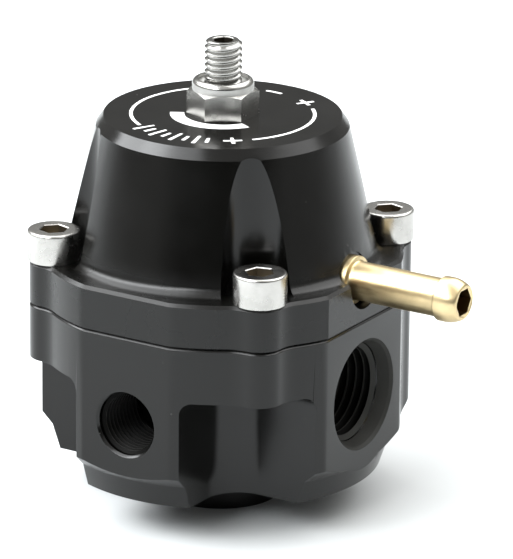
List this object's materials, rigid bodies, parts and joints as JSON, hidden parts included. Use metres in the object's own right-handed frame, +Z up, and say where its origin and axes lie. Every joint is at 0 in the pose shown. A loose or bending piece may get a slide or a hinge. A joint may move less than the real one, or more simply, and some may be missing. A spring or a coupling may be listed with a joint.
{
  "type": "fuel pressure regulator",
  "caption": "Diaphragm fuel pressure regulator: a lobed black metal body with threaded side, gauge and return ports, a scalloped spring bell, a brass vacuum barb and a locked adjusting screw.",
  "frame": {"origin": "centre of the underside of the round boss, where the axis of the body meets the surface it stands on", "axes": "+Z up along the axis towards the adjusting screw, +X along the vacuum barb, -Y out of the gauge port"},
  "size_m": [0.0718, 0.056, 0.0757],
  "materials": {
    "black_anodised_body": "satin black anodised",
    "black_anodised_cover": "turned, black anodised",
    "stainless_screws": "bright stainless",
    "stainless_stud": "rolled thread",
    "stainless_nut": "bright stainless",
    "nylon": "matt",
    "brass_barb": "turned, bright",
    "black_rubber": "matt",
    "plain_steel": "turned",
    "brass_seat": "turned",
    "spring_steel": "drawn wire"
  },
  "bodies": {
    "housing": {"lower_body": "black_anodised_body", "spring_cover": "black_anodised_cover", "cap_screws": "stainless_screws", "lock_nut": "stainless_nut", "lock_nut_ring": "nylon", "vacuum_barb": "brass_barb", "valve_seat": "brass_seat", "seat_oring": "black_rubber", "diaphragm": "black_rubber"},
    "spring_button": {"spring_button": "plain_steel"},
    "adjuster": {"adjusting_screw": "stainless_stud"},
    "diaphragm_stack": {"diaphragm_plate": "plain_steel", "valve_holder": "plain_steel", "stem_washer": "plain_steel", "stem_nut": "plain_steel", "valve_ball": "plain_steel", "pressure_spring": "spring_steel"}
  },
  "joints": [
    {"name": "button_slide", "type": "slide", "parent": "housing", "child": "spring_button", "axis": [0, 0, 1], "range_m": [-0.006, 0], "deforming": ["pressure_spring"]},
    {"name": "adjuster_turn", "type": "hinge", "parent": "spring_button", "child": "adjuster", "pos_m": [0, 0, 0.0634], "axis": [0, 0, 1], "range_deg": [-2160, 0]},
    {"name": "diaphragm_lift", "type": "slide", "parent": "housing", "child": "diaphragm_stack", "axis": [0, 0, 1], "range_m": [0, 0.0012], "stiffness_N_per_m": 3000, "deforming": ["diaphragm", "pressure_spring"]}
  ],
  "couplings": [
    {"joint": "adjuster_turn", "follows": "button_slide", "rad_per_m": 6283.2}
  ]
}
